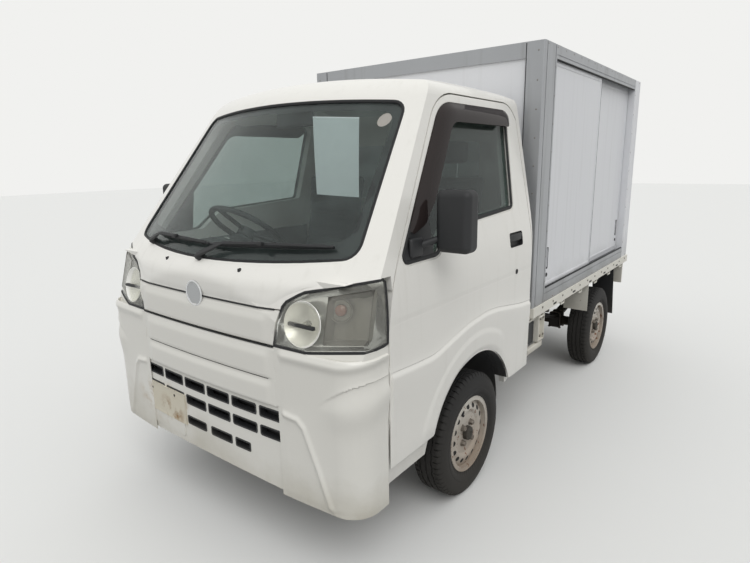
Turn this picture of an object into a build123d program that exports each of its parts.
from build123d import *
import os
from math import atan2, cos, degrees, radians, sin, sqrt, tan

# Kei truck with an aluminium-framed cargo box, sizes in millimetres.
# The ground is z = 0, forward is -Y and the vehicle's left side is +X.

# Overall sizes
overall_length = 3395
cab_width = 1475
cab_length = 1397.5
roof_height = 1769
wheelbase = 1900
front_overhang = 817.5
track = 1305

# Longitudinal places worked out from the overall sizes
nose_y = -overall_length / 2
tail_y = overall_length / 2
front_axle_y = nose_y + front_overhang
rear_axle_y = front_axle_y + wheelbase
cab_rear_y = nose_y + cab_length
cab_half = cab_width / 2

os.makedirs("parts", exist_ok=True)

# Gaps and walls of the cab
shut_gap = 6
lamp_gap = 3
panel_skin = 18
cab_wall = 50
sheet = 25
glass_thickness = 5
glass_inset = 5
glass_flange = 24
screen_seat_depth = 12
screen_edge_gap = 3

# Bows of the cab: the screen is bowed round one upright axis, the bumper round a farther one
screen_bow_axis_y = nose_y + 1987.5
nose_bow_radius = 6900
crown_radius = 4600
roof_arc_radius = 3650
roof_peak_y = nose_y + 947.5
bow_sweep = 124
roof_sweep = 64

# Wheels, 12 inch steel rims with 145 mm tyres
tyre_diameter = 540
tyre_width = 145
rim_seat_radius = 151
rim_flange_radius = 164
rim_half_width = 57
hub_face_offset = 38
rim_hole_count = 16
rim_hole_radius = 10
rim_hole_ring = 119
stud_ring = 50
axle_z = tyre_diameter / 2

# Front wheel arch, its circle sits a little ahead of and above the axle
arch_y = front_axle_y - 2
arch_z = 285
arch_radius = 358

# Cargo box on the deck
box_front_y = cab_rear_y + 56
box_rear_y = tail_y - 17.5
box_half = 720
box_top = 1963
box_bottom = 684
post_depth = 155
post_width = 90
top_rail_height = 63
bottom_rail_height = 74
leaf_thickness = 22
track_gap = 10
leaf_overlap = 26
running_gap = 6
wall_thickness = 30
floor_board = 16
rear_door_thickness = 30

# Deck and frame under the box
deck_top = box_bottom
deck_edge_height = 50
deck_half = 728
deck_plate = 30
rail_x = 360
rail_width = 50
rail_height = 100
rail_low_top = 468
rail_high_top = deck_top - deck_edge_height - 34
cross_half = rail_x - rail_width / 2


def cab_front_view(inset):
    """Half outline of the cab seen from the front, as lines and arcs, mirrored."""
    skirt_z = 285
    skirt_half = cab_half - 37.5
    side_top_z = 930
    shoulder_radius = 1100
    lean = 10.5
    rail_z = 1665
    rail_radius = 75
    roof_slope = 20
    with BuildSketch(Plane.XZ.offset(-tail_y)) as view:
        with BuildLine():
            Polyline((0, skirt_z), (skirt_half, skirt_z), (cab_half, 640), (cab_half, side_top_z))
            shoulder = JernArc((cab_half, side_top_z), (0, 1), shoulder_radius, lean)
            top_x = (shoulder @ 1).X - (rail_z - (shoulder @ 1).Y) * tan(radians(lean))
            Line(shoulder @ 1, (top_x, rail_z))
            leaning = (-sin(radians(lean)), cos(radians(lean)))
            rail = JernArc((top_x, rail_z), leaning, rail_radius, 90 - lean - roof_slope)
            peak_z = (rail @ 1).Y + (rail @ 1).X * tan(radians(roof_slope))
            Line(rail @ 1, (0, peak_z))
            mirror(about=Plane.YZ)
        make_face()
        if inset:
            offset(amount=-inset, kind=Kind.INTERSECTION, mode=Mode.REPLACE)
    return view.sketch


def turned_plane(origin, start_angle, upright):
    """Plane through an axis, turned back by start_angle, from which a profile is carried round it."""
    turn = radians(start_angle)
    if upright:
        outward = Vector(-sin(turn), -cos(turn), 0)
        return Plane(origin=origin, x_dir=outward, z_dir=outward.cross(Vector(0, 0, 1)))
    outward = Vector(0, sin(turn), cos(turn))
    return Plane(origin=origin, x_dir=(1, 0, 0), z_dir=Vector(1, 0, 0).cross(outward))


def cab_bow_profile(inset):
    """Hood, windscreen and roof front, drawn outwards from the upright axis they are bowed round."""
    reach = screen_bow_axis_y - nose_y
    near = 400
    hood_corner = (reach + 2, 1038)
    roof_corner = (reach - 519.6, 1730.4)
    with BuildSketch(turned_plane((0, screen_bow_axis_y, 0), bow_sweep / 2, upright=True)) as view:
        with BuildLine():
            Polyline(
                (near, 150),
                (reach + 150, 150),
                (reach + 150, 690),
                (reach + 54, 830),
                hood_corner,
                roof_corner,
                (near, 2020),
                close=True,
            )
        make_face()
        fillet(view.vertices().sort_by_distance(hood_corner)[0], 170)
        fillet(view.vertices().sort_by_distance(roof_corner)[0], 260)
        if inset:
            offset(amount=-inset, kind=Kind.INTERSECTION, mode=Mode.REPLACE)
    return view.sketch


def cab_roof_section(inset):
    """Crowned section of the roof, drawn outwards from a cross axis far below."""
    reach = cab_width * 0.6
    radius = crown_radius - inset
    peak = roof_arc_radius - inset
    edge = peak - radius + sqrt(radius**2 - reach**2)
    bottom = roof_arc_radius - roof_height + 150
    origin = (0, roof_peak_y, roof_height - roof_arc_radius)
    with BuildSketch(turned_plane(origin, roof_sweep / 2, upright=False)) as view:
        with BuildLine():
            Polyline((-reach, edge), (-reach, bottom), (reach, bottom), (reach, edge))
            ThreePointArc((-reach, edge), (0, peak), (reach, edge))
        make_face()
    return view.sketch


def cab_plan(inset):
    """Cab seen from above: bowed front, round front corners, small rear corners."""
    bow_drop = nose_bow_radius - sqrt(nose_bow_radius**2 - cab_half**2)
    with BuildSketch(Plane.XY) as view:
        with BuildLine():
            ThreePointArc((-cab_half, nose_y + bow_drop), (0, nose_y), (cab_half, nose_y + bow_drop))
            Polyline(
                (cab_half, nose_y + bow_drop),
                (cab_half, cab_rear_y),
                (-cab_half, cab_rear_y),
                (-cab_half, nose_y + bow_drop),
            )
        make_face()
        corners = view.vertices().sort_by(Axis.Y)
        fillet(corners[:2], 105)
        fillet(view.vertices().sort_by(Axis.Y)[-2:], 38)
        if inset:
            offset(amount=-inset, kind=Kind.INTERSECTION, mode=Mode.REPLACE)
    return view.sketch


def cab_side_view(inset):
    """Skirt line and rear wall of the cab in side view."""
    above = roof_height + 300
    with BuildSketch(Plane.YZ.offset(-cab_width)) as view:
        with BuildLine():
            Polyline(
                (nose_y + 38, 292),
                (nose_y - 2, 318),
                (nose_y - 40, 420),
                (nose_y - 40, above),
                (cab_rear_y, above),
                (cab_rear_y, 478),
                (cab_rear_y - 50, 413),
                (cab_rear_y - 397, 368),
                (nose_y + 457, 338),
                (nose_y + 120, 334),
                close=True,
            )
        make_face()
        if inset:
            offset(amount=-inset, kind=Kind.INTERSECTION, mode=Mode.REPLACE)
    return view.sketch


def cab_form(inset=0):
    """The cab's closed outer shape, moved inwards by inset."""
    with BuildPart() as form:
        extrude(cab_front_view(inset), amount=overall_length, dir=(0, -1, 0))
        extrude(cab_plan(inset), amount=roof_height + 200, dir=(0, 0, 1), mode=Mode.INTERSECT)
        extrude(cab_side_view(inset), amount=2 * cab_width, dir=(1, 0, 0), mode=Mode.INTERSECT)
        roof_axis = Axis((0, roof_peak_y, roof_height - roof_arc_radius), (1, 0, 0))
        revolve(cab_roof_section(inset), roof_axis, roof_sweep, mode=Mode.INTERSECT)
        bow_axis = Axis((0, screen_bow_axis_y, 0), (0, 0, 1))
        revolve(cab_bow_profile(inset), bow_axis, bow_sweep, mode=Mode.INTERSECT)
    return form.part


def side_prism(points, radii, x_from, x_to, grow=0):
    """Outline in side view, given as (y, z), rounded at the numbered points and carried across."""
    with BuildPart() as prism:
        with BuildSketch(Plane.YZ.offset(x_from)) as view:
            with BuildLine():
                Polyline(*points, close=True)
            make_face()
            for number, radius in radii.items():
                fillet(view.vertices().sort_by_distance(points[number])[0], radius)
            if grow:
                offset(amount=grow, kind=Kind.INTERSECTION, mode=Mode.REPLACE)
        extrude(amount=x_to - x_from)
    return prism.part


def front_prism(points, radii, y_from, y_to, grow=0):
    """Outline in front view, given as (x, z), rounded at the numbered points and carried forwards."""
    with BuildPart() as prism:
        with BuildSketch(Plane.XZ.offset(-y_from)) as view:
            with BuildLine():
                Polyline(*points, close=True)
            make_face()
            for number, radius in radii.items():
                fillet(view.vertices().sort_by_distance(points[number])[0], radius)
            if grow:
                offset(amount=grow, kind=Kind.INTERSECTION, mode=Mode.REPLACE)
        extrude(amount=y_from - y_to)
    return prism.part


def block(corner, opposite, mode=Mode.ADD):
    """Plain box between two opposite corners, added to or cut from the piece being built."""
    size = [abs(b - a) for a, b in zip(corner, opposite)]
    middle = [(a + b) / 2 for a, b in zip(corner, opposite)]
    with Locations(Vector(*middle)):
        Box(*size, mode=mode)


def bar(start, end, radius, bore=0, mode=Mode.ADD):
    """Round bar or tube from one point to another."""
    direction = Vector(*end) - Vector(*start)
    with BuildSketch(Plane(origin=start, z_dir=direction)) as section:
        Circle(radius)
        if bore:
            Circle(bore, mode=Mode.SUBTRACT)
    extrude(section.sketch, amount=direction.length, dir=direction, mode=mode)


def front_band(line_z, depth, rise, shoulder, bow_radius, half_width):
    """Wedge swept across the nose: it runs in over rise down to a line, and out again over shoulder."""
    proud = 6
    reach = bow_radius + proud
    sweep_angle = 2 * degrees(atan2(half_width, bow_radius))
    slope = 1 + proud / depth
    origin = (0, nose_y + bow_radius, 0)
    with BuildPart() as wedge:
        with BuildSketch(turned_plane(origin, sweep_angle / 2, upright=True)) as section:
            with BuildLine():
                Polyline(
                    (bow_radius - depth, line_z),
                    (reach, line_z + rise * slope),
                    (reach, line_z - shoulder * slope),
                    close=True,
                )
            make_face()
        revolve(section.sketch, Axis(origin, (0, 0, 1)), sweep_angle)
    return wedge.part


def side_band(line_z, depth, rise, shoulder, y_from, y_to):
    """The same wedge run straight along the left side of the cab."""
    proud = 6
    slope = 1 + proud / depth
    with BuildPart() as wedge:
        with BuildSketch(Plane.XZ.offset(-y_to)) as section:
            with BuildLine():
                Polyline(
                    (cab_half - depth, line_z),
                    (cab_half + proud, line_z + rise * slope),
                    (cab_half + proud, line_z - shoulder * slope),
                    close=True,
                )
            make_face()
        extrude(amount=y_to - y_from)
    return wedge.part


def write(part, name):
    """Label a finished piece and write it to its own file."""
    part.label = name
    export_step(part, f"parts/{name}.step")


# Cab skins, each the same form at another depth
cab_outer = cab_form(0)
cab_glass_outer = cab_form(glass_inset)
cab_glass_inner = cab_form(glass_inset + glass_thickness)
cab_skin_inner = cab_form(panel_skin)
cab_cavity = cab_form(cab_wall)

# Door outline in side view: front edge, bend to the screen pillar, roof corner, rear corner
door_front_y = nose_y + 198.5
door_rear_y = cab_rear_y - 25
door_top_z = 1675
door_rake = 8
door_outline = [
    (door_front_y, 250),
    (door_front_y, 1012),
    (door_front_y + 471, door_top_z),
    (door_rear_y, door_top_z),
    (door_rear_y, 250),
]
door_rounds = {1: 450, 2: 230, 3: 130}
window_outline = [
    (nose_y + 292, 1105),
    (nose_y + 688, 1632),
    (cab_rear_y - 148, 1632),
    (cab_rear_y - 203, 1221),
    (nose_y + 622, 1190),
    (nose_y + 517, 1105),
]
window_rounds = {0: 18, 1: 150, 2: 45, 3: 22, 4: 55, 5: 55}
nose_rear_y = door_front_y - shut_gap

# Front shut lines, in front view
garnish_bottom_z = 838
garnish_top_z = 962
garnish_outline = [
    (-392, garnish_bottom_z),
    (392, garnish_bottom_z),
    (424, garnish_top_z),
    (-424, garnish_top_z),
]
lamp_outline = [(399, 842), (434, 988), (500, 1026), (770, 1084), (770, 866), (540, 842)]
lamp_rounds = {1: 40, 2: 60}
lamp_depth = 60
lamp_wall = 6
lens_thickness = 4
panel_gap = 5

# Windscreen outline in front view: corner places and the rise of its edges at the middle
screen_bottom = (632, 1130)
screen_top = (562, 1640)
screen_bottom_middle = 1096
screen_top_middle = 1662
rear_window_half = 480
rear_window_z = (1200, 1540)


def screen_prism(grow):
    """Windscreen outline carried forwards through the screen."""
    with BuildPart() as prism:
        with BuildSketch(Plane.XZ.offset(-(nose_y + 700))) as view:
            with BuildLine():
                left_bottom = (-screen_bottom[0], screen_bottom[1])
                left_top = (-screen_top[0], screen_top[1])
                ThreePointArc(left_bottom, (0, screen_bottom_middle), screen_bottom)
                Line(screen_bottom, screen_top)
                ThreePointArc(screen_top, (0, screen_top_middle), left_top)
                Line(left_top, left_bottom)
            make_face()
            fillet(view.vertices().group_by(Axis.Y)[0], 42)
            fillet(view.vertices().sort_by(Axis.Y)[-2:], 55)
            if grow:
                offset(amount=grow, kind=Kind.INTERSECTION, mode=Mode.REPLACE)
        extrude(amount=750)
    return prism.part


def rake_cut(gap):
    """Everything behind the raked rear edge of the left door, in plan."""
    outside = cab_half + 60
    inside = 450
    slope = tan(radians(door_rake))
    with BuildPart() as cut:
        with BuildSketch(Plane.XY) as view:
            with BuildLine():
                Polyline(
                    (outside, door_rear_y + gap + (outside - cab_half) * slope),
                    (inside, door_rear_y + gap - (cab_half - inside) * slope),
                    (inside, cab_rear_y + 300),
                    (outside, cab_rear_y + 300),
                    close=True,
                )
            make_face()
        extrude(amount=roof_height + 100)
    return cut.part


# Left door, its window and arch cut out, with a pull bar across the handle recess
handle_y = (cab_rear_y - 270, cab_rear_y - 132)
handle_z = (1042, 1108)
handle_depth = 22
window_groove = 14
window_step_width = 14
crease_z = 786
crease_depth = 5
with BuildPart() as door_left:
    add(cab_outer)
    add(cab_cavity, mode=Mode.SUBTRACT)
    add(side_prism(door_outline, door_rounds, 500, cab_half + 40), mode=Mode.INTERSECT)
    add(rake_cut(0), mode=Mode.SUBTRACT)
    add(cab_cavity.moved(Location((0, cab_wall - 5, 0))), mode=Mode.SUBTRACT)
    block((0, nose_y, 0), (cab_half - cab_wall, cab_rear_y, 560), mode=Mode.SUBTRACT)
    add(side_prism(window_outline, window_rounds, 400, cab_half + 40), mode=Mode.SUBTRACT)
    with Locations(Plane.YZ.offset(500)):
        with Locations((arch_y, arch_z)):
            Cylinder(arch_radius, 400, align=(Align.CENTER, Align.CENTER, Align.MIN), mode=Mode.SUBTRACT)
    handle_box = [
        (handle_y[0], handle_z[0]),
        (handle_y[1], handle_z[0]),
        (handle_y[1], handle_z[1]),
        (handle_y[0], handle_z[1]),
    ]
    pocket = side_prism(handle_box, {0: 12, 1: 12, 2: 12, 3: 12}, cab_half - 14 - handle_depth, cab_half + 20)
    add(pocket, mode=Mode.SUBTRACT)
    block((cab_half - 26, handle_y[0], 1068), (cab_half - 16, handle_y[1], 1098))
    add(side_band(crease_z, crease_depth, 150, 22, nose_y, cab_rear_y), mode=Mode.SUBTRACT)
    window_step = side_prism(window_outline, window_rounds, 400, cab_half + 40, grow=window_step_width)
    add((cab_outer - cab_glass_outer) & window_step, mode=Mode.SUBTRACT)
    glass_slab = cab_form(window_groove) - cab_form(window_groove + glass_thickness)
    door_pane = glass_slab & side_prism(window_outline, window_rounds, 500, cab_half + 40, grow=10)
    add(door_pane, mode=Mode.SUBTRACT)
write(door_left.part, "door_left")

with BuildPart() as door_right:
    mirror(door_left.part, about=Plane.YZ)
write(door_right.part, "door_right")

with BuildPart() as door_glass_left:
    add(door_pane)
write(door_glass_left.part, "door_glass_left")

with BuildPart() as door_glass_right:
    mirror(door_pane, about=Plane.YZ)
write(door_glass_right.part, "door_glass_right")

# Cab shell: roof, pillars, upper front panel, rear wall, floor, firewall and seat box
floor_z = 520
seat_box_z = 760
firewall_y = nose_y + 112
seat_box_y = nose_y + 500
tub_half = cab_half - cab_wall - 18
cowl_z = 1062
rear_inner_y = cab_rear_y - cab_wall
lamp_region = front_prism(lamp_outline, lamp_rounds, nose_rear_y, nose_y - 20)
lamp_opening = front_prism(lamp_outline, lamp_rounds, nose_rear_y + 30, nose_y - 20, grow=lamp_gap)
wiper_pivot_radius = 11
wiper_pivots = [
    # x, y, z of each pivot's head
    (-420, nose_y + 92, 1118),
    (-10, nose_y + 30, 1097),
]
door_openings = side_prism(door_outline, door_rounds, 450, cab_half + 40, grow=shut_gap) - rake_cut(shut_gap)
rear_hole = [
    (-rear_window_half, rear_window_z[0]),
    (rear_window_half, rear_window_z[0]),
    (rear_window_half, rear_window_z[1]),
    (-rear_window_half, rear_window_z[1]),
]
rear_rounds = {0: 50, 1: 50, 2: 50, 3: 50}
pillar_depth = 30
sill_bottom_z = 360
with BuildPart() as cab_shell:
    add(cab_outer)
    add(cab_cavity, mode=Mode.SUBTRACT)
    block((-800, nose_y - 60, 0), (800, nose_rear_y + 40, garnish_top_z + panel_gap), mode=Mode.SUBTRACT)
    block((-700, nose_y - 60, 0), (700, rear_inner_y, seat_box_z - sheet), mode=Mode.SUBTRACT)
    block((-700, rear_inner_y - 10, 0), (700, cab_rear_y + 10, floor_z), mode=Mode.SUBTRACT)
    for opening in (door_openings, mirror(door_openings, about=Plane.YZ, mode=Mode.PRIVATE)):
        add(opening, mode=Mode.SUBTRACT)
    add((cab_outer - cab_form(screen_seat_depth)) & screen_prism(0), mode=Mode.SUBTRACT)
    add(screen_prism(-glass_flange), mode=Mode.SUBTRACT)
    rear_y = (cab_rear_y + 10, rear_inner_y - 20)
    add(front_prism(rear_hole, rear_rounds, rear_y[0], rear_y[1], grow=-glass_flange), mode=Mode.SUBTRACT)
    add(front_prism(rear_hole, rear_rounds, rear_y[0], cab_rear_y - 30), mode=Mode.SUBTRACT)
    with BuildSketch(Plane.YZ.offset(-tub_half)) as tub_view:
        with BuildLine():
            Polyline(
                (firewall_y - sheet, cowl_z),
                (firewall_y - sheet, floor_z - sheet),
                (seat_box_y + sheet - 3, floor_z - sheet),
                (seat_box_y + 28 + sheet, seat_box_z - sheet),
                (rear_inner_y + 20, seat_box_z - sheet),
                (rear_inner_y + 20, seat_box_z),
                (seat_box_y + 28, seat_box_z),
                (seat_box_y, floor_z),
                (firewall_y, floor_z),
                (firewall_y, cowl_z),
                close=True,
            )
        make_face()
    extrude(amount=2 * tub_half)
    for side in (1, -1):
        inner_x = side * (tub_half - pillar_depth)
        outer_x = side * tub_half
        block((inner_x, firewall_y - sheet, floor_z - sheet), (outer_x, door_front_y + 45, cowl_z))
        block((inner_x, firewall_y - sheet, sill_bottom_z), (outer_x, seat_box_y, floor_z))
        block((inner_x, arch_y, 440), (outer_x, rear_inner_y + 20, seat_box_z))
        with Locations(Plane.YZ.offset(side * 600)):
            with Locations((arch_y, arch_z)):
                Cylinder(arch_radius, 300, mode=Mode.SUBTRACT)
    for opening in (lamp_opening, mirror(lamp_opening, about=Plane.YZ, mode=Mode.PRIVATE)):
        add(opening, mode=Mode.SUBTRACT)
    for pivot_x, pivot_y, pivot_z in wiper_pivots:
        hole_low = (pivot_x, pivot_y, pivot_z - 120)
        bar(hole_low, (pivot_x, pivot_y, pivot_z + 30), wiper_pivot_radius + 1, mode=Mode.SUBTRACT)
write(cab_shell.part, "cab_shell")

with BuildPart() as windscreen:
    add((cab_glass_outer - cab_glass_inner) & screen_prism(-screen_edge_gap))
write(windscreen.part, "windscreen")

with BuildPart() as rear_window:
    add(front_prism(rear_hole, rear_rounds, cab_rear_y - 30 + glass_thickness, cab_rear_y - 30))
write(rear_window.part, "rear_window")


# Bumper panel with its cooling slots, folded bands and plate holes
slot_rows = [
    # middle z, height, half of the slots as (middle x, width)
    (583, 35, [(73.5, 125), (221, 125), (372, 132)]),
    (510, 34, [(73.5, 125), (221, 125), (377, 142)]),
    (420, 30, [(78.5, 120), (202.5, 77)]),
]
slot_corner_radius = 4
plate_middle = (-335, 414)
plate_pad_half = (165, 81)
plate_pad_lip = 3
plate_boss = 6
plate_hole_spacing = 210
plate_hole_radius = 3.5
second_line_z = 723
recess_depth = 7
recess_sweep = 12
recess_outline = [
    (-455, 628),
    (455, 628),
    (532, 548),
    (579, 443),
    (618, 270),
    (-618, 270),
    (-579, 443),
    (-532, 548),
]
recess_rounds = {0: 40, 1: 40, 2: 90, 7: 90}
with BuildPart() as bumper:
    add(cab_outer)
    add(cab_skin_inner, mode=Mode.SUBTRACT)
    block((-800, nose_rear_y, 200), (800, nose_y - 60, garnish_top_z), mode=Mode.INTERSECT)
    block((-tub_half, nose_y + 60, 200), (tub_half, nose_rear_y + 10, sill_bottom_z), mode=Mode.SUBTRACT)
    for opening in (lamp_opening, mirror(lamp_opening, about=Plane.YZ, mode=Mode.PRIVATE)):
        add(opening, mode=Mode.SUBTRACT)
    add(front_prism(garnish_outline, {}, nose_y + 120, nose_y - 20, grow=panel_gap), mode=Mode.SUBTRACT)
    add(front_band(garnish_bottom_z - 4, 12, 90, 16, 11000, 400), mode=Mode.SUBTRACT)
    add(front_band(second_line_z, 11, 96, 16, 15000, 400), mode=Mode.SUBTRACT)
    bow_centre = (0, nose_y + nose_bow_radius, 0)
    with BuildSketch(turned_plane(bow_centre, recess_sweep / 2, upright=True)) as recess_view:
        with Locations((nose_bow_radius + 20 - recess_depth, 440)):
            Rectangle(40, 600)
    recess_ring = revolve(recess_view.sketch, Axis(bow_centre, (0, 0, 1)), recess_sweep, mode=Mode.PRIVATE)
    recess_view_prism = front_prism(recess_outline, recess_rounds, nose_y + 120, nose_y - 20)
    add(recess_ring & recess_view_prism, mode=Mode.SUBTRACT)
    with BuildSketch(Plane.XZ.offset(-(nose_y + 80))) as slots:
        for row_z, row_height, places in slot_rows:
            for slot_x, slot_width in places:
                with Locations((slot_x, row_z), (-slot_x, row_z)):
                    RectangleRounded(slot_width, row_height, slot_corner_radius)
    extrude(slots.sketch, amount=120, dir=(0, -1, 0), mode=Mode.SUBTRACT)
    pad_outline = [
        (plate_middle[0] + across * plate_pad_half[0], plate_middle[1] + up * plate_pad_half[1])
        for across, up in ((-1, -1), (1, -1), (1, 1), (-1, 1))
    ]
    pad_prism = front_prism(pad_outline, {0: 12, 1: 12, 2: 12, 3: 12}, nose_y + 40, nose_y - 5)
    add(pad_prism & (cab_form(recess_depth - plate_pad_lip) - cab_form(panel_skin + plate_boss)))
    with Locations(Plane.XZ.offset(-(nose_y + 60))):
        with Locations(plate_middle):
            with GridLocations(plate_hole_spacing, 0, 2, 1):
                Cylinder(plate_hole_radius, 200, mode=Mode.SUBTRACT)
write(bumper.part, "bumper")

with BuildPart() as front_garnish:
    add(cab_outer)
    add(cab_skin_inner, mode=Mode.SUBTRACT)
    add(front_prism(garnish_outline, {}, nose_y + 120, nose_y - 20), mode=Mode.INTERSECT)
    add(front_band(garnish_bottom_z - 4, 12, 90, 16, 11000, 440), mode=Mode.SUBTRACT)
write(front_garnish.part, "front_garnish")

# Headlamps, a dish and a clear lens on each side
lamp_inner = front_prism(lamp_outline, lamp_rounds, nose_rear_y - lamp_wall, nose_y - 20, grow=-lamp_wall)
with BuildPart() as headlamp_housings:
    add((cab_glass_outer - cab_form(lamp_depth)) & lamp_region)
    add((cab_outer - cab_cavity) & lamp_inner, mode=Mode.SUBTRACT)
    mirror(about=Plane.YZ)
write(headlamp_housings.part, "headlamp_housings")

with BuildPart() as headlamp_lenses:
    add((cab_form(1) - cab_glass_outer) & lamp_region)
    mirror(about=Plane.YZ)
write(headlamp_lenses.part, "headlamp_lenses")

# Radiator behind the cooling slots
with BuildPart() as radiator:
    block((-415, nose_y + 42, 358), (415, nose_y + 78, 632))
write(radiator.part, "radiator")

# Dashboard with the steering column standing out of it
dash_half = tub_half - pillar_depth - 4
wheel_centre = Vector(-340, nose_y + 537, 1120)
column_axis = Vector(0, 0.62, 0.785).normalized()
steering_radius = 185
with BuildPart() as dashboard:
    with BuildSketch(Plane.YZ.offset(-dash_half)):
        with BuildLine():
            Polyline(
                (firewall_y, cowl_z),
                (firewall_y + 250, cowl_z - 8),
                (firewall_y + 312, 985),
                (firewall_y + 255, 725),
                (firewall_y + 135, 700),
                (firewall_y, 800),
                close=True,
            )
        make_face()
    extrude(amount=2 * dash_half)
    add(cab_form(lamp_depth), mode=Mode.INTERSECT)
    bar(wheel_centre - column_axis * 190, wheel_centre - column_axis * 42, 34)
write(dashboard.part, "dashboard")

# Steering wheel: rim, three spokes and hub
wheel_plane = Plane(origin=wheel_centre, x_dir=(1, 0, 0), z_dir=column_axis)
with BuildPart() as steering_wheel:
    rim_plane = Plane(origin=wheel_centre, x_dir=(1, 0, 0), z_dir=wheel_plane.y_dir * -1)
    with BuildSketch(rim_plane) as rim_section:
        with Locations((steering_radius, 0)):
            Circle(13)
    revolve(rim_section.sketch, Axis(wheel_centre, column_axis))
    with Locations(wheel_plane):
        with Locations((0, 0, -18)):
            Cylinder(42, 40)
        with PolarLocations(0, 3, start_angle=30):
            with Locations((steering_radius / 2 + 12, 0, -10)):
                Box(steering_radius - 20, 30, 10)
write(steering_wheel.part, "steering_wheel")

# Seats: cushion, back and head rest on each side
seat_x = 360
seat_half = 235
with BuildPart() as seats:
    for side in (1, -1):
        with BuildSketch(Plane.YZ.offset(side * seat_x - seat_half)) as seat_view:
            with BuildLine():
                Polyline(
                    (seat_box_y + 90, seat_box_z),
                    (seat_box_y + 75, 872),
                    (seat_box_y + 560, 850),
                    (rear_inner_y - 190, 1395),
                    (rear_inner_y - 95, 1400),
                    (rear_inner_y - 150, seat_box_z),
                    close=True,
                )
            make_face()
            fillet(seat_view.vertices().sort_by(Axis.Y)[-2:], 24)
            fillet(seat_view.vertices().sort_by_distance((seat_box_y + 75, 872))[0], 40)
        extrude(amount=2 * seat_half)
        block((side * seat_x - 115, rear_inner_y - 175, 1402), (side * seat_x + 115, rear_inner_y - 85, 1530))
        block((side * seat_x - 40, rear_inner_y - 150, 1390), (side * seat_x + 40, rear_inner_y - 120, 1410))
write(seats.part, "seats")

# Door mirrors, each on a stem from the door's front upper corner
for name, side in (("mirror_left", 1), ("mirror_right", -1)):
    with BuildPart() as mirror_unit:
        with Locations((side * 820, nose_y + 475, 1230)):
            Box(130, 80, 210)
        fillet(mirror_unit.edges(), 24)
        with Locations((side * 820, nose_y + 519, 1230)):
            Box(108, 14, 186, mode=Mode.SUBTRACT)
        bar((side * 712, nose_y + 400, 1148), (side * 780, nose_y + 470, 1178), 12)
    write(mirror_unit.part, name)



def on_screen(x, z, off):
    """Point in front of the bowed screen at a given place, off millimetres clear of the glass."""
    radius = screen_bow_axis_y - nose_y + 2 - (z - hood_corner_z) * screen_fall + off
    return Vector(x, screen_bow_axis_y - sqrt(radius**2 - x**2), z)


# Wipers: pivots in the cowl, arms and blades resting along the foot of the screen
hood_corner_z = 1038
screen_fall = 0.7533
blade_off = 14
arm_off = 26
wiper_blades = [
    # pivot, then the blade's ends as (x, z)
    (wiper_pivots[0], (-395, 1146), (15, 1141)),
    (wiper_pivots[1], (25, 1139), (545, 1158)),
]
with BuildPart() as wipers:
    for (pivot_x, pivot_y, pivot_z), low_end, high_end in wiper_blades:
        bar((pivot_x, pivot_y, pivot_z - 60), (pivot_x, pivot_y, pivot_z), wiper_pivot_radius)
        knots = [
            tuple(a + (b - a) * part for a, b in zip(low_end, high_end))
            for part in (0, 0.25, 0.5, 0.75, 1)
        ]
        blade = [on_screen(x, z, blade_off) for x, z in knots]
        for start, end in zip(blade, blade[1:]):
            bar(start, end, 5)
        arm_foot = Vector(pivot_x, pivot_y, pivot_z)
        arm_end = on_screen(knots[2][0], knots[2][1], blade_off)
        arm_rise = on_screen(knots[1][0], knots[1][1] - 4, arm_off)
        bar(arm_foot, arm_rise, 6)
        bar(arm_rise, arm_end, 6)
        for joint in (arm_foot, arm_rise, arm_end):
            with Locations(joint):
                Sphere(6)
        for joint in blade[1:-1]:
            with Locations(joint):
                Sphere(5)
write(wipers.part, "wipers")

# Frame rails kicked up behind the cab, with a tie-down plate in front and a tow eye behind
tow_eye_radius = 15
tow_eye_thickness = 12
tow_eye_rim = 14
tow_plate_y = nose_y + 135
tow_ring_y = tail_y - 100
eye_half = tow_eye_thickness / 2
with BuildPart() as frame_rails:
    for side in (1, -1):
        with BuildSketch(Plane.YZ.offset(side * rail_x - rail_width / 2)) as rail_view:
            with BuildLine():
                Polyline(
                    (nose_y + 97, rail_low_top - rail_height),
                    (nose_y + 97, rail_low_top),
                    (cab_rear_y + 12, rail_low_top),
                    (cab_rear_y + 172, rail_high_top),
                    (tail_y - 60, rail_high_top),
                    (tail_y - 60, rail_high_top - rail_height),
                    (cab_rear_y + 190, rail_high_top - rail_height),
                    (cab_rear_y + 30, rail_low_top - rail_height),
                    close=True,
                )
            make_face()
        extrude(amount=rail_width)
    plate_x = -(rail_x + rail_width / 2 + 35)
    plate_z = rail_low_top - rail_height + eye_half
    block((plate_x, tow_plate_y - 30, plate_z - eye_half), (-rail_x, tow_plate_y + 30, plate_z + eye_half))
    eye_low = (plate_x, tow_plate_y, plate_z - eye_half)
    eye_high = (plate_x, tow_plate_y, plate_z + eye_half)
    bar(eye_low, eye_high, tow_eye_radius + tow_eye_rim)
    bar(eye_low, eye_high, tow_eye_radius, mode=Mode.SUBTRACT)
    ring_z = rail_high_top - rail_height - 32
    ring_near = (rail_x - eye_half, tow_ring_y, ring_z)
    ring_far = (rail_x + eye_half, tow_ring_y, ring_z)
    bar(ring_near, ring_far, tow_eye_radius + tow_eye_rim)
    block(
        (rail_x - eye_half, tow_ring_y - 30, ring_z + 5),
        (rail_x + eye_half, tow_ring_y + 30, rail_high_top - rail_height),
    )
    bar(ring_near, ring_far, tow_eye_radius, mode=Mode.SUBTRACT)
write(frame_rails.part, "frame_rails")

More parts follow.
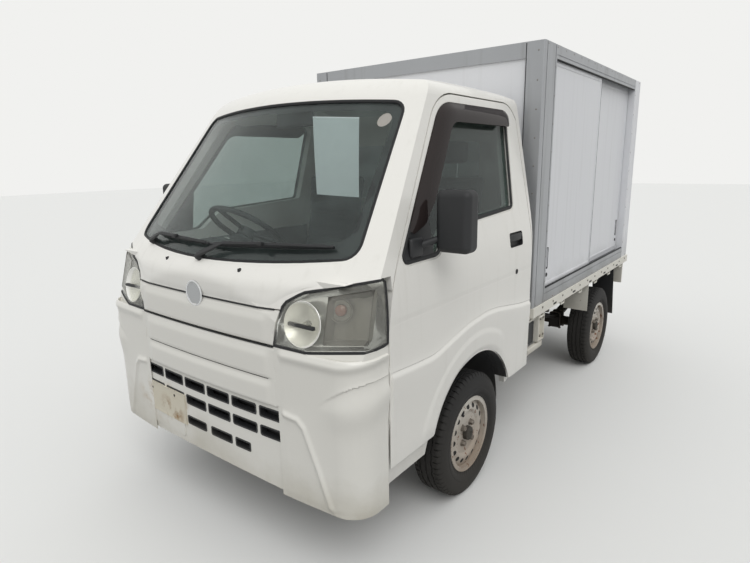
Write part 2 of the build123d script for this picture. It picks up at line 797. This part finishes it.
# Cross members between the rails, the second one dropped under the axle line
with BuildPart() as frame_crossmembers:
    cross_table = [
        # low y, high y, low z, high z
        (nose_y + 97, nose_y + 147, rail_low_top - 80, rail_low_top - 10),
        (front_axle_y - 30, front_axle_y + 30, 172, 222),
        (cab_rear_y - 110, cab_rear_y - 60, rail_low_top - 40, rail_low_top - 5),
        (cab_rear_y + 560, cab_rear_y + 610, rail_high_top - 70, rail_high_top - 10),
        (tail_y - 520, tail_y - 470, rail_high_top - 40, rail_high_top - 5),
        (tail_y - 110, tail_y - 60, rail_high_top - 80, rail_high_top - 10),
    ]
    for low_y, high_y, low_z, high_z in cross_table:
        block((-cross_half, low_y, low_z), (cross_half, high_y, high_z))
    for side in (1, -1):
        leg_low = (side * cross_half, front_axle_y - 30, 172)
        block(leg_low, (side * (cross_half - 40), front_axle_y + 30, rail_low_top - 10))
write(frame_crossmembers.part, "frame_crossmembers")

# Mounts between the rails and the cab floor
with BuildPart() as cab_mounts:
    for side in (1, -1):
        for mount_y in (nose_y + 180, nose_y + 455):
            with Locations((side * rail_x, mount_y, (rail_low_top + floor_z - sheet) / 2)):
                Cylinder(28, floor_z - sheet - rail_low_top)
        with Locations((side * rail_x, cab_rear_y - 90, (rail_low_top + seat_box_z - sheet) / 2)):
            Box(rail_width, 60, seat_box_z - sheet - rail_low_top)
write(cab_mounts.part, "cab_mounts")

# Engine under the seats, one plain block
with BuildPart() as engine:
    block((-230, front_axle_y + 60, 250), (240, cab_rear_y - 140, 690))
write(engine.part, "engine")

# Front suspension: lower arms, springs and top mounts round the kingpin axis
kingpin_low = Vector(572, front_axle_y, 165)
kingpin_high = Vector(490, front_axle_y, 720)
kingpin = (kingpin_high - kingpin_low).normalized()
strut_top = kingpin_low + kingpin * 545
with BuildPart() as front_suspension:
    for side in (1, -1):
        flip = (side, 1, 1)
        spring_low = [a * b for a, b in zip(kingpin_low + kingpin * 415, flip)]
        spring_high = [a * b for a, b in zip(strut_top, flip)]
        bar(spring_low, spring_high, 55, 44)
        block((side * 415, front_axle_y - 60, 705), (side * 560, front_axle_y + 60, seat_box_z - sheet))
        block((side * (cross_half - 5), front_axle_y - 18, 135), (side * 586, front_axle_y + 18, 158))
        foot_low = (side * (cross_half - 5), front_axle_y - 28, 135)
        block(foot_low, (side * (cross_half - 40), front_axle_y + 28, 172))
write(front_suspension.part, "front_suspension")

# Knuckles: hub carrier, backing plate, strut tube and rod
plate_offset = -52
for name, side in (("knuckle_left", 1), ("knuckle_right", -1)):
    with BuildPart() as knuckle:
        wheel_x = track / 2
        flip = (side, 1, 1)
        tube_points = [kingpin_low + kingpin * reach for reach in (0, 400, 530)]
        tube_low, tube_high, rod_high = [[a * b for a, b in zip(point, flip)] for point in tube_points]
        bar(tube_low, tube_high, 24)
        bar(tube_high, rod_high, 11)
        plate_face = (side * (wheel_x + plate_offset), front_axle_y, axle_z)
        bar((side * (wheel_x - 105), front_axle_y, axle_z), plate_face, 42)
        bar(plate_face, (side * (wheel_x + plate_offset + 4), front_axle_y, axle_z), 108)
        block(
            (side * (wheel_x - 100), front_axle_y, axle_z - 60),
            (side * (wheel_x - 75), front_axle_y + 130, axle_z - 35),
        )
    write(knuckle.part, name)

# Rear axle: tube, differential and propeller shaft
with BuildPart() as rear_axle:
    axle_end = track / 2 - 58
    bar((-axle_end, rear_axle_y, axle_z), (axle_end, rear_axle_y, axle_z), 32)
    with Locations((-30, rear_axle_y, axle_z)):
        Sphere(112)
    bar((-30, rear_axle_y - 190, axle_z + 10), (-30, rear_axle_y, axle_z), 48)
    bar((-30, cab_rear_y - 134, 372), (-30, rear_axle_y - 180, axle_z + 12), 27)
write(rear_axle.part, "rear_axle")

# Leaf springs clamped on the rear axle and hung from the frame
spring_x = 425
spring_half = 30
with BuildPart() as leaf_springs:
    for side in (1, -1):
        with BuildSketch(Plane.YZ.offset(side * spring_x - spring_half)) as spring_view:
            with BuildLine():
                front_eye = (rear_axle_y - 430, rail_high_top - 150)
                rear_eye = (rear_axle_y + 430, rail_high_top - 140)
                ThreePointArc(front_eye, (rear_axle_y, axle_z + 52), rear_eye)
                Line(rear_eye, (rear_eye[0], rear_eye[1] - 12))
                ThreePointArc(
                    (rear_eye[0], rear_eye[1] - 12),
                    (rear_axle_y, axle_z + 30),
                    (front_eye[0], front_eye[1] - 12),
                )
                Line((front_eye[0], front_eye[1] - 12), front_eye)
            make_face()
        extrude(amount=2 * spring_half)
        for eye in (front_eye, rear_eye):
            block(
                (side * (rail_x + rail_width / 2), eye[0] - 30, eye[1] - 35),
                (side * (spring_x + spring_half + 8), eye[0] + 30, rail_high_top - 20),
            )
        block(
            (side * (spring_x - spring_half - 6), rear_axle_y - 55, axle_z - 46),
            (side * (spring_x + spring_half + 6), rear_axle_y + 55, axle_z + 34),
        )
    add(rear_axle.part, mode=Mode.SUBTRACT)
write(leaf_springs.part, "leaf_springs")

# Exhaust: pipe from the engine over the axle to the silencer
with BuildPart() as exhaust:
    bar((215, cab_rear_y - 134, 385), (215, cab_rear_y, 385), 19)
    bar((215, cab_rear_y, 385), (215, rear_axle_y - 180, 400), 19)
    bar((215, rear_axle_y - 180, 400), (215, rear_axle_y, 452), 19)
    bar((215, rear_axle_y, 452), (215, rear_axle_y + 180, 420), 19)
    bar((215, rear_axle_y + 180, 420), (215, rear_axle_y + 480, 420), 72)
    bar((215, rear_axle_y + 480, 420), (215, tail_y - 20, 405), 17)
write(exhaust.part, "exhaust")

# Fuel tank on the right, below the deck
with BuildPart() as fuel_tank:
    with Locations((-(rail_x + 175), cab_rear_y + 420, 470)):
        Box(270, 560, 240)
    fillet(fuel_tank.edges(), 24)
    block((-(rail_x + rail_width / 2), cab_rear_y + 250, 500), (-(rail_x + 45), cab_rear_y + 590, 560))
write(fuel_tank.part, "fuel_tank")

# Wheels
wheel_table = [
    # place, side, axle along the vehicle
    ("front_left", 1, front_axle_y),
    ("front_right", -1, front_axle_y),
    ("rear_left", 1, rear_axle_y),
    ("rear_right", -1, rear_axle_y),
]
tyre_radius = tyre_diameter / 2
tread_half = 55
tyre_half = tyre_width / 2
disc_thickness = 4
for place, side, axle_y in wheel_table:
    centre = Vector(side * track / 2, axle_y, axle_z)
    wheel_section = Plane(origin=centre, x_dir=(side, 0, 0), z_dir=(0, 0, side))
    wheel_axis = Axis(centre, (1, 0, 0))
    with BuildPart() as tyre:
        with BuildSketch(wheel_section) as tyre_view:
            with BuildLine():
                bead = (rim_half_width, rim_flange_radius + 8)
                Line((-tread_half, tyre_radius), (tread_half, tyre_radius))
                ThreePointArc((tread_half, tyre_radius), (tyre_half, 216), bead)
                Polyline(
                    bead,
                    (rim_half_width, rim_seat_radius),
                    (-rim_half_width, rim_seat_radius),
                    (-bead[0], bead[1]),
                )
                ThreePointArc((-bead[0], bead[1]), (-tyre_half, 216), (-tread_half, tyre_radius))
            make_face()
            fillet(tyre_view.vertices().sort_by(Axis.Y)[-2:], 12)
            with BuildLine():
                Polyline((-46, 174), (-42, rim_seat_radius - 2), (42, rim_seat_radius - 2), (46, 174))
                ThreePointArc((46, 174), (tyre_half - 10, 216), (46, 257))
                Line((46, 257), (-46, 257))
                ThreePointArc((-46, 257), (10 - tyre_half, 216), (-46, 174))
            make_face(mode=Mode.SUBTRACT)
        revolve(tyre_view.sketch, wheel_axis)
    write(tyre.part, f"tyre_{place}")

    with BuildPart() as rim:
        with BuildSketch(wheel_section) as rim_view:
            with BuildLine():
                edge = rim_half_width + 3
                Polyline(
                    (-edge, rim_flange_radius),
                    (-rim_half_width, rim_flange_radius),
                    (-rim_half_width, rim_seat_radius),
                    (-34, rim_seat_radius),
                    (-24, 136),
                    (12, 136),
                    (24, rim_seat_radius),
                    (rim_half_width, rim_seat_radius),
                    (rim_half_width, rim_flange_radius),
                    (edge, rim_flange_radius),
                    (edge, rim_seat_radius - disc_thickness),
                    (27, rim_seat_radius - disc_thickness),
                    (14, 131),
                    (hub_face_offset, 104),
                    (hub_face_offset + 2, 92),
                    (hub_face_offset + 2, 30),
                    (hub_face_offset + 20, 28),
                    (hub_face_offset + 20, 0),
                    (-44, 0),
                    (-44, 90),
                    (hub_face_offset - 12, 90),
                    (8, 126),
                    (8, 132),
                    (-26, 132),
                    (-37, rim_seat_radius - disc_thickness),
                    (-edge, rim_seat_radius - disc_thickness),
                    close=True,
                )
            make_face()
        revolve(rim_view.sketch, wheel_axis)
        hub_plane = Plane(origin=centre, x_dir=(0, 1, 0), z_dir=(side, 0, 0))
        with Locations(hub_plane):
            with PolarLocations(rim_hole_ring, rim_hole_count):
                Cylinder(rim_hole_radius, 160, mode=Mode.SUBTRACT)
            with PolarLocations(stud_ring, 4, start_angle=45):
                with Locations((0, 0, hub_face_offset + 8)):
                    Cylinder(10, 18)
    write(rim.part, f"rim_{place}")

# Wheel arch liners and the flaps behind the rear wheels
liner_thickness = 6
liner_x = (425, tub_half - 2)
with BuildPart() as mudguards:
    for side in (1, -1):
        with BuildSketch(Plane.YZ.offset(side * liner_x[0])) as liner_view:
            with Locations((arch_y, arch_z)):
                Circle(arch_radius)
                Circle(arch_radius - liner_thickness, mode=Mode.SUBTRACT)
            with Locations((arch_y, arch_z - 300)):
                Rectangle(1000, 600, mode=Mode.SUBTRACT)
        extrude(liner_view.sketch, amount=liner_x[1] - liner_x[0], dir=(side, 0, 0))
        with Locations((side * 503, front_axle_y, 600)):
            Cylinder(66, 220, mode=Mode.SUBTRACT)
        with BuildSketch(Plane.YZ.offset(side * 575)) as flap_view:
            with BuildLine():
                flap_top = rear_axle_y + 300
                Polyline(
                    (flap_top, deck_top - deck_edge_height),
                    (flap_top + 6, deck_top - deck_edge_height),
                    (flap_top + 70, 275),
                    (flap_top + 64, 275),
                    close=True,
                )
            make_face()
        extrude(flap_view.sketch, amount=148, dir=(side, 0, 0))
write(mudguards.part, "mudguards")

# Deck under the box: plate, edges, cross beams, rear panel, side brackets and splash plates
rear_panel_half = 705
rear_panel_z = (462, deck_top - deck_edge_height)
lamp_depth_rear = 24
deck_edge_width = 35
bracket_y = (cab_rear_y + 170, cab_rear_y + 250)
bracket_low_z = 475
with BuildPart() as deck:
    block((-deck_half, box_front_y, deck_top - deck_plate), (deck_half, tail_y - 8, deck_top))
    panel_y = tail_y - lamp_depth_rear
    edge_low_z = deck_top - deck_edge_height
    for side in (1, -1):
        edge_outer = (side * deck_half, box_front_y, edge_low_z)
        block(edge_outer, (side * (deck_half - deck_edge_width), tail_y - 8, deck_top))
    for beam_y in (box_front_y + 30, cab_rear_y + 575, rear_axle_y, tail_y - 90):
        beam_half = deck_half - deck_edge_width
        block((-beam_half, beam_y - 22, rail_high_top), (beam_half, beam_y + 22, deck_top - deck_plate))
    block((-rear_panel_half, panel_y - 20, rear_panel_z[0]), (rear_panel_half, panel_y, rear_panel_z[1] + 20))
    for side in (1, -1):
        post_foot = (side * cross_half, tail_y - 60, rear_panel_z[0] + 20)
        block(post_foot, (side * (cross_half + rail_width), panel_y - 20, rail_high_top))
        block((side * 690, bracket_y[0], bracket_low_z), (side * 696, bracket_y[1], edge_low_z + 6))
        for web_y in bracket_y:
            block((side * 690, web_y - 3, bracket_low_z), (side * 716, web_y + 3, edge_low_z + 6))
        block((side * 690, bracket_y[0], bracket_low_z), (side * 716, bracket_y[1], bracket_low_z + 6))
        splash_low = (side * 570, rear_axle_y - 308, 450)
        block(splash_low, (side * 722, rear_axle_y - 302, edge_low_z + 6))
write(deck.part, "deck")

# Rope hooks along both edges of the deck
hook_count = 6
hook_radius = 5
hook_x = deck_half - 14
hook_low_z = edge_low_z - 26
hook_half = 24
with BuildPart() as rope_hooks:
    for side in (1, -1):
        for number in range(hook_count):
            hook_y = box_front_y + 150 + number * (tail_y - box_front_y - 300) / (hook_count - 1)
            for leg_y in (hook_y - hook_half, hook_y + hook_half):
                bar((side * hook_x, leg_y, hook_low_z), (side * hook_x, leg_y, edge_low_z), hook_radius)
                with Locations((side * hook_x, leg_y, hook_low_z)):
                    Sphere(hook_radius)
            bar_end = (side * hook_x, hook_y + hook_half, hook_low_z)
            bar((side * hook_x, hook_y - hook_half, hook_low_z), bar_end, hook_radius)
write(rope_hooks.part, "rope_hooks")

# Tail lamps on the rear panel
with BuildPart() as tail_lamps:
    for side in (1, -1):
        with Locations((side * (rear_panel_half - 130), tail_y - lamp_depth_rear / 2, 545)):
            Box(220, lamp_depth_rear, 96)
    fillet(tail_lamps.edges().filter_by(Axis.Y), 14)
write(tail_lamps.part, "tail_lamps")

# Box frame: front posts, rails with a channel for the sliding leaves, front end rails
post_inner = box_half - post_width
front_post_y = box_front_y + post_depth + 8
rear_post_y = box_rear_y - post_depth
side_low_z = box_bottom + bottom_rail_height
side_high_z = box_top - top_rail_height
end_rail_low_z = side_high_z - 10
leaf_outer_x = box_half - 14
channel_x = (leaf_outer_x + 5, leaf_outer_x - 2 * leaf_thickness - track_gap - 5)
channel_depth = 16
end_rail_depth = 40
corner_radius = 9
rib_width = 7
rib_depth = 3
with BuildPart() as box_frame:
    for side in (1, -1):
        post_low = (side * post_inner, box_front_y, box_bottom)
        block(post_low, (side * box_half, front_post_y, box_top))
    post_corners = box_frame.edges().filter_by(Axis.Z).group_by(Axis.Y)[0]
    fillet([edge for edge in post_corners if abs(edge.center().X) > post_inner + 1], corner_radius)
    for side in (1, -1):
        for rib_y in (box_front_y + 28, front_post_y - 22):
            rib_low = (side * box_half, rib_y, box_bottom)
            block(rib_low, (side * (box_half - rib_depth), rib_y + rib_width, box_top), mode=Mode.SUBTRACT)
        rail_low = (side * post_inner, front_post_y, box_bottom)
        block(rail_low, (side * box_half, rear_post_y, side_low_z))
        rail_high = (side * post_inner, front_post_y, side_high_z)
        block(rail_high, (side * box_half, rear_post_y, box_top))
        for rib_z in (box_bottom + 46, side_high_z + 12):
            rib_low = (side * box_half, front_post_y, rib_z)
            rib_high = (side * (box_half - rib_depth), rear_post_y, rib_z + rib_width)
            block(rib_low, rib_high, mode=Mode.SUBTRACT)
        for low_z, high_z in ((side_low_z - channel_depth, side_low_z), (side_high_z, side_high_z + channel_depth)):
            channel_low = (side * channel_x[0], front_post_y, low_z)
            block(channel_low, (side * channel_x[1], rear_post_y, high_z), mode=Mode.SUBTRACT)
    front_rail_y = box_front_y + end_rail_depth
    block((-post_inner, box_front_y, end_rail_low_z), (post_inner, front_rail_y, box_top))
    block((-post_inner, box_front_y, box_bottom), (post_inner, front_rail_y, side_low_z))
write(box_frame.part, "box_frame")

# Rear posts and end rails in panel colour
with BuildPart() as box_rear_frame:
    for side in (1, -1):
        post_low = (side * post_inner, rear_post_y, box_bottom)
        block(post_low, (side * box_half, box_rear_y, box_top))
    post_corners = box_rear_frame.edges().filter_by(Axis.Z).group_by(Axis.Y)[-1]
    fillet([edge for edge in post_corners if abs(edge.center().X) > post_inner + 1], corner_radius)
    for side in (1, -1):
        for rib_y in (rear_post_y + 15, box_rear_y - 35):
            rib_low = (side * box_half, rib_y, box_bottom)
            block(rib_low, (side * (box_half - rib_depth), rib_y + rib_width, box_top), mode=Mode.SUBTRACT)
    rear_rail_y = box_rear_y - end_rail_depth
    block((-post_inner, rear_rail_y, end_rail_low_z), (post_inner, box_rear_y, box_top))
    block((-post_inner, rear_rail_y, box_bottom), (post_inner, box_rear_y, side_low_z))
write(box_rear_frame.part, "box_rear_frame")

with BuildPart() as box_front_wall:
    wall_y = box_front_y + 8
    block((-post_inner, wall_y, side_low_z), (post_inner, wall_y + wall_thickness, end_rail_low_z))
write(box_front_wall.part, "box_front_wall")

with BuildPart() as box_roof:
    block((-post_inner, front_rail_y, box_top - 32), (post_inner, rear_rail_y, box_top - 8))
write(box_roof.part, "box_roof")

with BuildPart() as box_floor:
    block((-post_inner, front_rail_y, box_bottom), (post_inner, rear_rail_y, box_bottom + floor_board))
write(box_floor.part, "box_floor")

# Sliding side leaves, the front pair on the outer track and the rear pair on the inner one
leaf_low_z = side_low_z - channel_depth + running_gap
leaf_high_z = side_high_z + channel_depth - running_gap
leaf_middle_y = (front_post_y + rear_post_y) / 2
leaf_pull_z = 860
leaf_pull_depth = 9
leaf_inner_x = leaf_outer_x - leaf_thickness - track_gap
leaf_table = [
    # name, side, outer face, front edge, rear edge
    ("side_leaf_front_left", 1, leaf_outer_x, front_post_y + running_gap, leaf_middle_y + leaf_overlap / 2),
    ("side_leaf_front_right", -1, leaf_outer_x, front_post_y + running_gap, leaf_middle_y + leaf_overlap / 2),
    ("side_leaf_rear_left", 1, leaf_inner_x, leaf_middle_y - leaf_overlap / 2, rear_post_y - running_gap),
    ("side_leaf_rear_right", -1, leaf_inner_x, leaf_middle_y - leaf_overlap / 2, rear_post_y - running_gap),
]
for name, side, face_x, front_y, rear_y in leaf_table:
    with BuildPart() as leaf:
        block((side * face_x, front_y, leaf_low_z), (side * (face_x - leaf_thickness), rear_y, leaf_high_z))
        pull_y = front_y + 30 if face_x == leaf_outer_x else rear_y - 50
        pull_low = (side * face_x, pull_y, leaf_pull_z)
        pull_high = (side * (face_x - leaf_pull_depth), pull_y + 20, leaf_pull_z + 110)
        block(pull_low, pull_high, mode=Mode.SUBTRACT)
    write(leaf.part, name)

# Rear doors set between the posts, each with hinge straps, a lock rod in guides and a handle
rear_door_low_z = side_low_z + running_gap
rear_door_high_z = end_rail_low_z - running_gap
hinge_x = post_inner - 3
hinge_y = box_rear_y + 10
hinge_radius = 7
hinge_plate = 4
hinge_places = [rear_door_low_z + 90, (rear_door_low_z + rear_door_high_z) / 2, rear_door_high_z - 90]
hinge_half_height = 45
rod_x = 42
rod_y = box_rear_y + 11
rod_radius = 6
rod_overrun = 30
guide_half = 14
handle_rod_z = rear_door_low_z + 330
for name, side in (("rear_door_left", 1), ("rear_door_right", -1)):
    with BuildPart() as rear_door:
        door_edge = (side * running_gap / 2, box_rear_y - rear_door_thickness, rear_door_low_z)
        block(door_edge, (side * (post_inner - running_gap), box_rear_y, rear_door_high_z))
        for hinge_z in hinge_places:
            strap_low = (side * (hinge_x - 90), box_rear_y, hinge_z - hinge_half_height)
            strap_reach = side * (hinge_x - hinge_radius - running_gap)
            block(strap_low, (strap_reach, box_rear_y + hinge_plate, hinge_z + hinge_half_height))
        rod_low = (side * rod_x, rod_y, rear_door_low_z - rod_overrun)
        rod_high = (side * rod_x, rod_y, rear_door_high_z + rod_overrun)
        bar(rod_low, rod_high, rod_radius)
        for guide_z in (rear_door_low_z + 60, handle_rod_z - 60, handle_rod_z + 200, rear_door_high_z - 60):
            guide_low = (side * (rod_x - guide_half), box_rear_y, guide_z - 12)
            block(guide_low, (side * (rod_x + guide_half), tail_y - 1, guide_z + 12))
        lever_low = (side * rod_x, rod_y - rod_radius, handle_rod_z - 10)
        block(lever_low, (side * (rod_x + 210), rod_y, handle_rod_z + 10))
        block(
            (side * (rod_x + 150), box_rear_y, handle_rod_z - 22),
            (side * (rod_x + 190), rod_y - rod_radius, handle_rod_z + 22),
        )
    write(rear_door.part, name)

# Fixed halves of the rear hinges on the posts
with BuildPart() as rear_hinges:
    for side in (1, -1):
        for hinge_z in hinge_places:
            barrel_low = (side * hinge_x, hinge_y, hinge_z - hinge_half_height)
            bar(barrel_low, (side * hinge_x, hinge_y, hinge_z + hinge_half_height), hinge_radius)
            wing_low = (side * (hinge_x + 4), box_rear_y, hinge_z - hinge_half_height)
            block(wing_low, (side * (hinge_x + 78), box_rear_y + hinge_plate, hinge_z + hinge_half_height))
write(rear_hinges.part, "rear_hinges")
